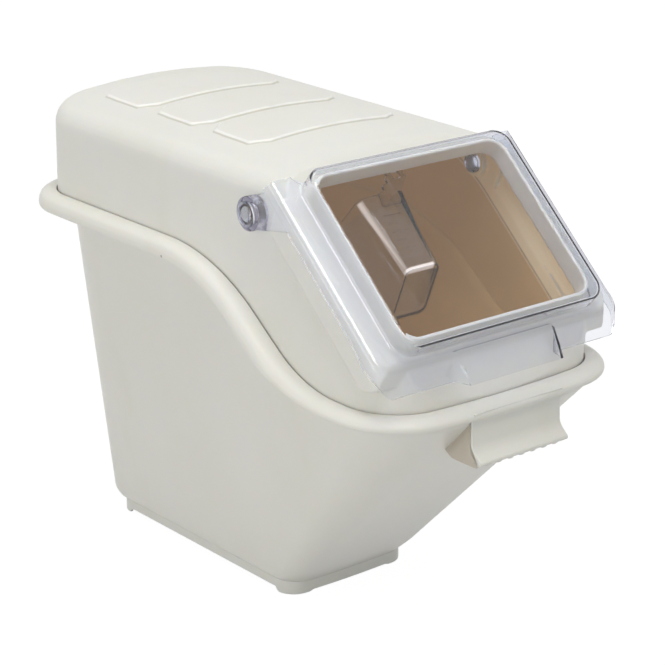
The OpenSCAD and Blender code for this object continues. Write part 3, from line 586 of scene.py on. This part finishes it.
def dome_stations():
    """Right half of the dome's outline, from the front middle to the top middle: where each station
    stands, its outward direction, and its part of the outline with how far along that part it is."""
    r = dome_corner
    xc, s_low, s_high = dome_half_w - r, dome_end - r, dome_top + r
    half = [(xc * t, dome_end, 0, 1, "front", t) for t in np.linspace(0, 1, 84, endpoint=False)]
    for t in np.linspace(0, 1, 16, endpoint=False):
        a = t * math.pi / 2
        half.append((xc + r * math.sin(a), s_low + r * math.cos(a), math.sin(a), math.cos(a), "low", t))
    for t in np.linspace(0, 1, 50):
        half.append((dome_half_w, s_low + (s_high - s_low) * t, 1, 0, "side", t))
    for t in np.linspace(0, 1, 16, endpoint=False)[1:]:
        c, d = math.cos(t * math.pi / 2), math.sin(t * math.pi / 2)
        half.append((xc + r * c, s_high - r * d, c, -d, "high", t))
    half += [(xc * (1 - t), dome_top, 0, -1, "top", t) for t in np.linspace(0, 1, 40)]
    return half


print("stations round half the dome:", len(dome_stations()))

# %% [markdown]
# ## The skin's paths
# A path starts near the dome's middle, runs over its edge and down its wall, and then over the flange.
# At the front and the sides a curve takes it round the knee into the skirt. The curve is tight in front
# and wide at the sides. At the dome's upper end the path stops in the dome's wall, as there is no
# flange beyond it.


# %% Draw the lid's skin
def flange_z(y):
    """Height of the flange's face at each y."""
    return lid_top[1] + math.tan(slope) * (y - lid_top[0])


def outer_edge(part, t, u):
    """The knee where the flange turns into the skirt, the skirt's lower edge, and outwards in plan."""
    low_side = lid_front - lid_corner
    if part == "side":
        s_knee = (low_side + lid_top[0]) / math.cos(slope) * (1 - t)
        deep = lid_skirt + 3 * max(0, 1 - 12 * t)
        return on_lid(lid_half_w, s_knee, 0), on_lid(lid_half_w, s_knee, -deep), (1, 0)
    a = t * math.pi / 2 if part == "low" else 0
    x = lid_half_w - lid_corner
    if part == "front":
        x = u * x / (dome_half_w - dome_corner)
    x, y = x + lid_corner * math.sin(a), -low_side - lid_corner * math.cos(a)
    low_z = lid_low_z + (corner_rise * smooth_step(t) if part == "low" else 0)
    return np.array([x, y, flange_z(y)]), np.array([x, y, low_z]), (math.sin(a), -math.cos(a))


def lid_path(u, s, nu, ns, part, t):
    """One path of the skin, from the dome's middle to the lower edge of the skirt."""
    face_in = dome_edge + dome_face_in
    face = on_lid(u - nu * face_in, s - ns * face_in, dome_h)
    middle = on_lid(0, (dome_top + dome_end) / 2, dome_h)
    path = [middle + (face - middle) * k for k in (0.02, 0.3, 0.6, 0.8, 0.93, 1)]
    for a in np.linspace(0, math.pi / 2, 6):
        inset = dome_edge * (1 - math.sin(a))
        path.append(on_lid(u - nu * inset, s - ns * inset, dome_h - dome_edge * (1 - math.cos(a))))
    path.append(on_lid(u, s, relief_h))
    if part == "top" or (part == "high" and t > flange_stops):
        return path
    for a in np.linspace(0, math.pi / 2, 4):
        out = dome_foot_r * (1 - math.cos(a))
        path.append(on_lid(u + nu * out, s + ns * out, dome_foot_r * (1 - math.sin(a))))
    foot = path[-1]
    if part == "high":
        # Beside the dome's upper corners the flange just runs up to its straight end
        reach = lid_half_w - knee_r
        end = on_lid(reach - (reach - dome_half_w) * min(1, t * flange_reach), 0, 0)
        return path + [foot * (1 - k) + end * k for k in (0.07, 0.5, 0.93, 1)]
    knee, low, outwards = outer_edge(part, t, u)
    widen = {"front": 0, "low": smooth_step(t), "side": 1}[part]
    cut = front_cut + (knee_r - front_cut) * widen
    start = knee - np.array([*outwards, 0]) * cut
    start[2] = flange_z(start[1])
    end = knee + (low - knee) * max(cut, 6) / np.linalg.norm(low - knee)
    path += [foot * (1 - k) + start * k for k in (0.07, 0.5, 0.93)]
    flat = len(path) - 1
    path += curve(start, knee, end, 8)
    path += [end * (1 - k) + low * k for k in (0.4, 0.8, 1)]
    # The finger lip: the skirt swells out towards its lower edge
    swell = smooth_step((grip_half_w - abs(knee[0])) / grip_blend) if part == "front" else 0
    if swell:
        top_z = lid_low_z + grip_rise
        for point in path[flat:]:
            fallen = min(1, max(0, (top_z - point[2]) / (top_z - lid_low_z)))
            shape = np.interp(fallen, [0, 0.07, 0.33, 0.72, 1], [0, 0.04, 0.36, 0.8, 1])
            point[1] -= swell * grip_out * shape
    return path


right_half = [lid_path(*station) for station in dome_stations()]
lid_paths = right_half + [[point * (-1, 1, 1) for point in path] for path in right_half[-2:0:-1]]
firsts = np.cumsum([0] + [len(path) for path in lid_paths])
skin_faces = [[int(first) for first in firsts[:-1]]]
for i, path in enumerate(lid_paths):
    j = (i + 1) % len(lid_paths)
    a, b = int(firsts[i]), int(firsts[j])
    shared = min(len(path), len(lid_paths[j])) - 1
    skin_faces += [[b + k, a + k, a + k + 1, b + k + 1] for k in range(shared)]
lid_clear = new_piece("lid_clear", np.concatenate(lid_paths), skin_faces)
print("lid skin:", len(lid_paths), "stations,", len(skin_faces), "faces")

# %% [markdown]
# ## The lid's wall and its hinge eyes
# Solidify thickens the skin inwards. At each upper side the skirt reaches back as an ear with a round
# eye, which turns on the hinge plug. The ears and eyes are solids of their own, and an exact Boolean
# union makes them one piece with the lid.


# %% Give the skin its wall, and add the hinge eyes
def merge_skin(piece, near=0.00003):
    """Merges what has run together and turns the faces to stand outwards."""
    shape = bmesh.new()
    shape.from_mesh(piece.data)
    bmesh.ops.remove_doubles(shape, verts=shape.verts, dist=near)
    bmesh.ops.dissolve_degenerate(shape, edges=shape.edges, dist=near)
    bmesh.ops.recalc_face_normals(shape, faces=shape.faces)
    widest = max(shape.faces, key=lambda face: face.calc_area())
    if widest.normal.z < 0:
        bmesh.ops.reverse_faces(shape, faces=shape.faces)
    shape.to_mesh(piece.data)
    shape.free()


def eye_ring(name, x0, x1, y, z, inner, outer, segments=48):
    """A short tube along X."""
    points = []
    for radius, x in ((outer, x0), (outer, x1), (inner, x1), (inner, x0)):
        for a in np.linspace(0, 2 * math.pi, segments, endpoint=False):
            points.append((x, y + radius * math.cos(a), z + radius * math.sin(a)))
    faces, last = ring_faces(4, segments), 3 * segments
    for i in range(segments):
        k = (i + 1) % segments
        faces.append([last + i, last + k, k, i])
    return outward_and_bevelled(new_piece(name, points, faces), 0.5)


def join_solids(piece, others):
    """Adds other solids to a solid and bakes it."""
    for other in others:
        joint_step = piece.modifiers.new("join", "BOOLEAN")
        joint_step.operation, joint_step.solver, joint_step.object = "UNION", "EXACT", other
    bake_modifiers(piece)
    for other in others:
        bpy.data.objects.remove(other)


merge_skin(lid_clear)
wall = lid_clear.modifiers.new("wall", "SOLIDIFY")
wall.thickness, wall.offset, wall.use_even_offset = lid_wall / 1000, -1, True
bake_modifiers(lid_clear)
hinge_y, hinge_z, eye_r, eye_bore_r = -83.0, 391.0, 15.2, 9.08
ear_x, eye_x = (lid_half_w - lid_wall + 0.12, lid_half_w - 0.05), (127.3, 139.5)
ear_under = 9
ear_top, ear_low = on_lid(0, 4, -ear_under)[1:], on_lid(0, 46, -ear_under)[1:]
ear_side = [
    (hinge_y, hinge_z + eye_r, 0), (*ear_top, 0), (*ear_low, 0),
    (hinge_y - eye_r * 0.6, hinge_z - eye_r * 0.8, 2), (hinge_y, hinge_z - eye_r, 0),
]
ears = []
for side in (-1, 1):
    x0, x1 = sorted(side * x for x in ear_x)
    ears.append(outward_and_bevelled(drawn_out("ear", ear_side, x0, x1), 0.4))
    x0, x1 = sorted(side * x for x in eye_x)
    ears.append(eye_ring("eye", x0, x1, hinge_y, hinge_z, eye_bore_r, eye_r))
join_solids(lid_clear, ears)
lid_clear.data.shade_smooth()
lid_clear.data.set_sharp_from_angle(angle=math.radians(45))
print("lid:", len(lid_clear.data.polygons), "faces", [round(v * 1000, 1) for v in lid_clear.dimensions])

# %% [markdown]
# ## Shader maths as sums
# A material is easier to read when its maths is written as sums. This small class wraps a socket, and
# each operator on it adds the Math node that does the work. Colours go through a Mix node instead.


# %% The wire class and the finish helper
class Wire:
    """A socket in a material, used like a number."""

    def __init__(self, finish, socket):
        self.finish, self.socket = finish, socket

    def maths(self, operation, *others):
        return self.finish.node("ShaderNodeMath", {"operation": operation}, self, *others)

    def __add__(self, other):
        return self.maths("ADD", other)

    __radd__ = __add__

    def __mul__(self, other):
        return self.maths("MULTIPLY", other)

    def __sub__(self, other):
        return self.maths("SUBTRACT", other)

    def __rsub__(self, other):
        return self.finish.node("ShaderNodeMath", {"operation": "SUBTRACT"}, other, self)

    def __pow__(self, other):
        return self.maths("POWER", other)

    def between(self, low, high):
        """0 below low, 1 above high and a soft rise between."""
        soft = {"interpolation_type": "SMOOTHSTEP"}
        return self.finish.node("ShaderNodeMapRange", soft, self, low, high)


class Finish:
    """A material whose nodes are added by plain calls."""

    def __init__(self, material):
        material.use_nodes = True
        self.tree = material.node_tree
        self.shader = self.tree.nodes["Principled BSDF"]
        self.coords = self.node("ShaderNodeTexCoord", {}, output="Object")

    def put(self, socket, value):
        """Feeds a socket from a wire, or sets it to a plain value."""
        if isinstance(value, Wire):
            self.tree.links.new(value.socket, socket)
        else:
            socket.default_value = value

    def node(self, kind, settings, *values, output=0, **named):
        """Adds a node, sets it up, feeds its sockets in order or by name and returns one output."""
        made = self.tree.nodes.new(kind)
        for key, value in settings.items():
            setattr(made, key, value)
        for socket, value in zip(made.inputs, values):
            self.put(socket, value)
        for key, value in named.items():
            self.put(made.inputs[key], value)
        return Wire(self, made.outputs[output])

    def noise(self, scale, detail=2.0, rough=0.5, coords=None):
        """Soft noise with about scale blobs to the metre."""
        return self.node(
            "ShaderNodeTexNoise", {}, output="Fac", Vector=coords or self.coords, Scale=scale,
            Detail=detail, Roughness=rough,
        )

    def marked(self, name):
        """A value that the mesh carries for each point."""
        return self.node("ShaderNodeAttribute", {"attribute_name": name}, output="Fac")

    def dot(self, direction):
        """How far a place lies along a direction."""
        dot_product = {"operation": "DOT_PRODUCT"}
        return self.node("ShaderNodeVectorMath", dot_product, self.coords, direction, output="Value")

    def stretched(self, scale, turn=(0, 0, 0)):
        """The coordinates turned and scaled, so that a noise on them is drawn out."""
        return self.node("ShaderNodeMapping", {}, Vector=self.coords, Scale=scale, Rotation=turn)

    def colours(self, factor, first, second):
        """The first colour where the factor is 0, turning into the second where it is 1."""
        mix = self.tree.nodes.new("ShaderNodeMix")
        mix.data_type = "RGBA"
        for index, value in ((0, factor), (6, first), (7, second)):
            self.put(mix.inputs[index], value)
        return Wire(self, mix.outputs[2])

    def feed(self, **values):
        """Feeds the Principled shader's sockets, with _ for each space in their names."""
        for name, value in values.items():
            self.put(self.shader.inputs[name.replace("_", " ")], value)

    def blend_in(self, factor, other):
        """Blends another shader over the Principled one by the factor and shows the result."""
        mixed = self.node("ShaderNodeMixShader", {}, factor, Wire(self, self.shader.outputs[0]), other)
        self.tree.links.new(mixed.socket, self.tree.nodes["Material Output"].inputs["Surface"])

    def bumps(self, *layers):
        """Stacks bump layers, each (height, strength, distance)."""
        normal = None
        for height, strength, distance in layers:
            bump = self.tree.nodes.new("ShaderNodeBump")
            bump.inputs["Strength"].default_value = strength
            bump.inputs["Distance"].default_value = distance
            self.tree.links.new(height.socket, bump.inputs["Height"])
            if normal:
                self.tree.links.new(normal, bump.inputs["Normal"])
            normal = bump.outputs["Normal"]
        self.tree.links.new(normal, self.shader.inputs["Normal"])


# %% [markdown]
# ## Ivory plastic
# The shells are moulded in an ivory plastic with a satin skin. Up close it has a fine grain, some faint
# flow marks and a few dark specks. Inside, the colour is painted darker and warmer as painted shade,
# and a warm glow is painted in for the light that comes through the walls. The inside is marked on each
# mesh by an attribute, so the colour follows the wall and not a line in space. Painted highlights and
# painted shade also mark the roof's pads, the gap under the rim, the pull's cheeks and a step on the
# inner side walls.


# %% Mix the ivory finish
def srgb(*levels):
    """A display colour of 0 to 255 as the linear colour that the shader reads."""
    linear = [v / 255 / 12.92 if v <= 10 else ((v / 255 + 0.055) / 1.055) ** 2.4 for v in levels]
    return (*linear, 1.0)


def from_lid_top(mix, direction):
    """How many metres a place lies from the lid's top edge along a side direction [y, z]."""
    return mix.dot((0, *direction)) - float(lid_top @ direction) / 1000


plastic_ior, no_light = 1.49, (0, 0, 0, 1)
mix = Finish(ivory)
inside = mix.marked("inside")
cloud = mix.noise(5, 3, 0.6)
flow = mix.noise(14, 4, 0.6, mix.stretched((1, 1, 0.25)))
outer = mix.colours(cloud.between(0.35, 0.7), srgb(231, 230, 221), srgb(234, 233, 226))
outer = mix.colours(flow.between(0.55, 0.8) * 0.5, outer, srgb(227, 225, 211))
# Painted shade: the inside gets a darker, warmer colour than the outside
inner = mix.colours(cloud.between(0.3, 0.7), srgb(188, 157, 106), srgb(198, 168, 118))
skin = mix.colours(inside, outer, inner)
# Painted shade in the gap under the rim and on the pull's cheeks
skin = mix.colours(mix.marked("painted_shade") * (0.55 + flow * 0.6), skin, srgb(112, 96, 74))
speck_cells = mix.node("ShaderNodeTexVoronoi", {}, output="Distance", Vector=mix.coords, Scale=11.0)
speck_pick = mix.noise(2.3, 1)
specks = (1 - speck_cells.between(0.012, 0.022)) * speck_pick.between(0.5, 0.56)
skin = mix.colours(specks * 0.6, skin, srgb(120, 108, 88))
# Painted light on the roof's pads: a painted highlight along their tops and painted shade round their
# feet
x = mix.dot((1, 0, 0))
lift = mix.dot((0, 0, 1)) + (crown_r - roof_z) / 1000 - ((crown_r / 1000) ** 2 - x * x) ** 0.5
foot = lift.between(0.0001, 0.0004) * (1 - lift.between(0.0009, 0.0014)) * (1 - inside)
painted_pad_highlight = lift.between(0.0013, 0.0018) * (1 - lift.between(0.0026, 0.00272)) * (1 - inside)
skin = mix.colours(foot * 0.5, skin, srgb(184, 180, 164))
skin = mix.colours(painted_pad_highlight * 0.8, skin, srgb(250, 249, 244))
# A step in the inner side walls, level with the sloping opening and bending back at its top, is
# painted:
# a dark line of painted shade, a painted highlight just below it, and a band of painted light between
# it and the opening
line_depth, bend_start, bend_share, edge_under = 0.056, 0.03, 2.8, 0.0014
down, off = from_lid_top(mix, down_slope), from_lid_top(mix, out_slope)
bend = (bend_start - down).maths("MAXIMUM", 0.0)
over_line = off + line_depth + bend * bend * bend_share
at_side = inside * x.maths("ABSOLUTE").between(0.112, 0.116)
line = (1 - over_line.maths("ABSOLUTE").between(0.0003, 0.0008)) * at_side
edge = (1 - (over_line + edge_under).maths("ABSOLUTE").between(0.0004, 0.0010)) * at_side
painted_light_band = over_line.between(-0.004, 0.003) * at_side * (0.35 + down.between(0.0, 0.12) * 0.65)
skin = mix.colours(painted_light_band * 0.85, skin, srgb(228, 217, 188))
skin = mix.colours(line * 0.75, skin, srgb(92, 70, 44))
skin = mix.colours(edge * 0.6, skin, srgb(232, 220, 190))
# Painted light: the inside glows warm for the light that comes through the walls, most near the sloping
# opening, and the band of painted light by the opening glows too
off_line = 1 - line * 0.7
near_front = (over_line.between(-0.03, 0.03) * 0.8 + 0.2) * at_side * down.between(0.03, 0.17)
warm = inside * (0.5 + near_front * 1.1) * off_line
glow_in = mix.colours(warm, no_light, (0.16, 0.112, 0.053, 1))
scuff = mix.noise(60, 6, 0.75, mix.stretched((1, 1, 7), (0.4, 0.3, 0.2)))
mix.feed(
    Base_Color=skin,
    Roughness=0.36 + scuff.between(0.5, 0.75) * 0.10 + cloud * 0.06,
    Emission_Color=mix.colours(painted_light_band * 0.8 * off_line, glow_in, (0.25, 0.21, 0.145, 1)),
    Emission_Strength=1.0,
    IOR=plastic_ior,
    Subsurface_Weight=0.3,
    Subsurface_Radius=(1.0, 0.72, 0.42),
    Subsurface_Scale=0.006,
)
mix.bumps((mix.noise(1400), 0.06, 0.0002), (mix.noise(26, 3), 0.05, 0.0012))
print("ivory finish:", len(ivory.node_tree.nodes), "nodes")

# %% [markdown]
# ## Clear plastic
# Clear plastic bends light and tints it a little more the further it travels inside, so the walls look
# clear and the edges look grey. Fine scratches on the flat faces break up the gloss. Rays that look for
# a lamp pass straight through, because a renderer would take a bent path to be a dark shadow.


# %% Mix the clear finish
clear = bpy.data.materials.new("clear_plastic")
mix = Finish(clear)
haze = mix.noise(30, 4, 0.6)
scratch = mix.noise(240, 3, 0.6, mix.stretched((1, 12, 1), (0.2, 0.4, 0.9)))
# Painted highlight: thin lines beside and under the scoop's front wall glow, standing in for the light
# that its thick rim catches
cup_top, cup_low, cup_left, cup_taper = 0.022, 0.0985, -0.0392, 0.083
bead_half, bead_thin, under_half = 0.0021, 0.017, 0.0015
x = mix.dot((1, 0, 0))
down, off = from_lid_top(mix, down_slope), from_lid_top(mix, out_slope)
at_cup = off.between(-0.0325, -0.0315) * (1 - off.between(-0.022, -0.021))
below = down - cup_top
aside = (x - cup_left - below * cup_taper).maths("ABSOLUTE")
beside = (bead_half - below * bead_thin - aside).between(-0.0003, 0.0003)
beside = beside * down.between(0.0235, 0.0245) * (1 - down.between(0.096, 0.097))
under = (under_half - (down - cup_low).maths("ABSOLUTE")).between(-0.0003, 0.0003)
under = under * (1 - x.between(-0.004, -0.003)) * x.between(-0.0345, -0.0335)
painted_rim_glint = (beside * 0.42 + under * 0.8) * at_cup
mix.feed(
    Base_Color=mix.colours(haze.between(0.3, 0.7), srgb(247, 250, 252), srgb(250, 252, 253)),
    Roughness=0.02 + scratch.between(0.62, 0.75) * 0.05 + haze.between(0.5, 0.8) * 0.02,
    Transmission_Weight=1.0,
    IOR=plastic_ior,
    Specular_IOR_Level=0.25,
    Emission_Color=mix.colours(painted_rim_glint, no_light, (0.62, 0.58, 0.55, 1)),
    Emission_Strength=1.0,
)
mix.bumps((scratch, 0.03, 0.0002), (mix.noise(9), 0.02, 0.001))
# Lamps shine through to what is underneath, as they do through a real sheet this thin
shadow_ray = mix.node("ShaderNodeLightPath", {}, output="Is Shadow Ray")
mix.blend_in(shadow_ray, mix.node("ShaderNodeBsdfTransparent", {}, srgb(240, 241, 245)))
soak = mix.node("ShaderNodeVolumeAbsorption", {}, Color=srgb(209, 205, 220), Density=88.0)
mix.tree.links.new(soak.socket, mix.tree.nodes["Material Output"].inputs["Volume"])
print("clear finish:", len(clear.node_tree.nodes), "nodes")

# %% [markdown]
# ## Which points are inside
# The tub is a stack of rings, so its inside is simply the later rings. The hood's grid has no such
# order. There a point is inside when it faces the middle of the bin and lies under the roof, within the
# side walls and behind the face of the sloping frame. The inside gets painted shade and a painted glow.
# The narrow gap between the tub's rim and the hood, and the pull's cheeks, are marked for painted
# shade.


# %% Mark the inside and put the finishes on
def mark(piece, values, name="inside"):
    """Writes a value for each point, or one value for all of them, as an attribute of the mesh."""
    layer = piece.data.attributes.new(name, "FLOAT", "POINT")
    values = np.broadcast_to(values, len(piece.data.vertices))
    layer.data.foreach_set("value", values.astype(np.float32))


def of_points(piece, what):
    """What each point of a mesh has, such as its co or its normal, in rows of three."""
    values = np.empty(len(piece.data.vertices) * 3)
    piece.data.vertices.foreach_get(what, values)
    return values.reshape(-1, 3)


tub_ring = np.repeat(np.arange(rings), around)
ledge_rings, painted_shade_rings = 15, [60, 62.5, 68, 73]
ledge_ring = rings - len(heel_inner) - ledge_rings
mark(tub_shell, np.clip((tub_ring - ledge_ring) / 3, 0, 1))
# The gap between the rim and the hood gets painted shade
mark(tub_shell, np.interp(tub_ring, painted_shade_rings, [0, 1, 1, 0]), "painted_shade")
bin_middle, side_skin, roof_skin, frame_depth = np.array([0, 20, 320]), 1.2, 1.5, 6.5
places, facing = of_points(hood_shell, "co") * 1000, of_points(hood_shell, "normal")
x, y, z = places.T
turned_in = (facing * (bin_middle - places)).sum(1) > 0
within = (np.abs(x) < half_w - side_skin) | (facing[:, 0] * np.sign(x) < -0.5)
within &= z < roof_z - crown_r + np.sqrt(crown_r**2 - x**2) - roof_skin
mark(hood_shell, turned_in & within & (off_slope(y, z) < -frame_depth))
# The pull's cheeks sit back behind the plate and get some painted shade
for cheek in pull_cheeks:
    mark(cheek, 0.2)
    mark(cheek, 0.4, "painted_shade")
for piece in (tub_shell, foot_ring, pull_plate, *pull_cheeks, finger_teeth, hood_shell, hook_soft):
    piece.data.materials.clear()
    piece.data.materials.append(ivory)
for piece in (lid_clear, scoop_clear, left_plug, right_plug):
    piece.data.materials.clear()
    piece.data.materials.append(clear)
print("finishes on")

# %% [markdown]
# ## Which piece rides on which body
# A piece that stands for a solid hides it and moves with its body.

# %% Tie the pieces to the bodies
for piece in (tub_shell, foot_ring, pull_plate, *pull_cheeks, finger_teeth):
    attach(piece, "tub")
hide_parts("tub")
for piece, body, node in (
    (hood_shell, "hood", "hood"),
    (hook_soft, "hood", "scoop_hook"),
    (left_plug, "hood", "left_pivot_plug"),
    (right_plug, "hood", "right_pivot_plug"),
    (lid_clear, "flip_lid", "flip_lid"),
    (scoop_clear, "scoop", "scoop"),
):
    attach(piece, body)
    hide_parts(node)
print("pieces tied")

# %% [markdown]
# ## Floor and light
# The floor and the sky look pale to the camera, and also through the clear plastic and in its gloss.
# To all other light they are darker, so the floor still takes the bin's soft shadow. Four square soft
# lamps light the bin: in front and above, over the top, from the left, and a weak one low in front.


# %% Floor, sky and lamps
def seen_directly(tree):
    """1 for rays from the camera, through clear plastic or off a gloss, and 0 for all others."""
    ray = tree.nodes.new("ShaderNodeLightPath")
    seen = ray.outputs["Is Camera Ray"]
    for kind in ("Is Transmission Ray", "Is Glossy Ray"):
        total = tree.nodes.new("ShaderNodeMath")
        total.operation, total.use_clamp = "ADD", True
        tree.links.new(seen, total.inputs[0])
        tree.links.new(ray.outputs[kind], total.inputs[1])
        seen = total.outputs[0]
    return seen


floor_grey, glow_power, glow_share, sky_power = 0.62, 1.12, 0.86, 0.44
floor_finish = bpy.data.materials.new("pale_floor")
mix = Finish(floor_finish)
mix.feed(Base_Color=(floor_grey, floor_grey, floor_grey, 1), Roughness=0.8)
glow = mix.node("ShaderNodeEmission", {}, Strength=glow_power)
mix.blend_in(Wire(mix, seen_directly(mix.tree)) * glow_share, glow)
bpy.ops.mesh.primitive_plane_add(size=40, location=(0, 0, -0.0002))
floor = bpy.context.object
floor.name = "floor"
floor.data.materials.append(floor_finish)

world = bpy.data.worlds.new("sky")
bpy.context.scene.world = world
world.use_nodes = True
nodes, links = world.node_tree.nodes, world.node_tree.links
sky, pale = nodes["Background"], nodes.new("ShaderNodeBackground")
sky.inputs["Color"].default_value = (1, 1, 1, 1)
sky.inputs["Strength"].default_value = sky_power
pick = nodes.new("ShaderNodeMixShader")
links.new(seen_directly(world.node_tree), pick.inputs[0])
links.new(sky.outputs[0], pick.inputs[1])
links.new(pale.outputs[0], pick.inputs[2])
links.new(pick.outputs[0], nodes["World Output"].inputs["Surface"])


def lamp(name, place, aim, size, power):
    """A square soft lamp at a place, turned towards a point."""
    data = bpy.data.lights.new(name, "AREA")
    data.size, data.energy = size, power
    made = bpy.data.objects.new(name, data)
    made.location = place
    made.rotation_euler = (Vector(place) - Vector(aim)).to_track_quat("Z", "Y").to_euler()
    bpy.context.scene.collection.objects.link(made)


lamp("key_lamp", (-0.35, -0.95, 2.3), (0, -0.2, 0.3), 0.8, 13.0)
lamp("top_lamp", (-0.1, 0.2, 2.5), (0, 0, 0.2), 1.4, 12.6)
lamp("side_lamp", (-2.4, -0.2, 0.8), (0, 0, 0.25), 1.4, 12.0)
lamp("low_lamp", (-0.3, -2.4, 0.25), (0, 0, 0.15), 1.4, 3.4)
bpy.context.scene.view_settings.view_transform = "Standard"
print("lamps lit")

# %% [markdown]
# ## The end

# %% The end
print("scene done")
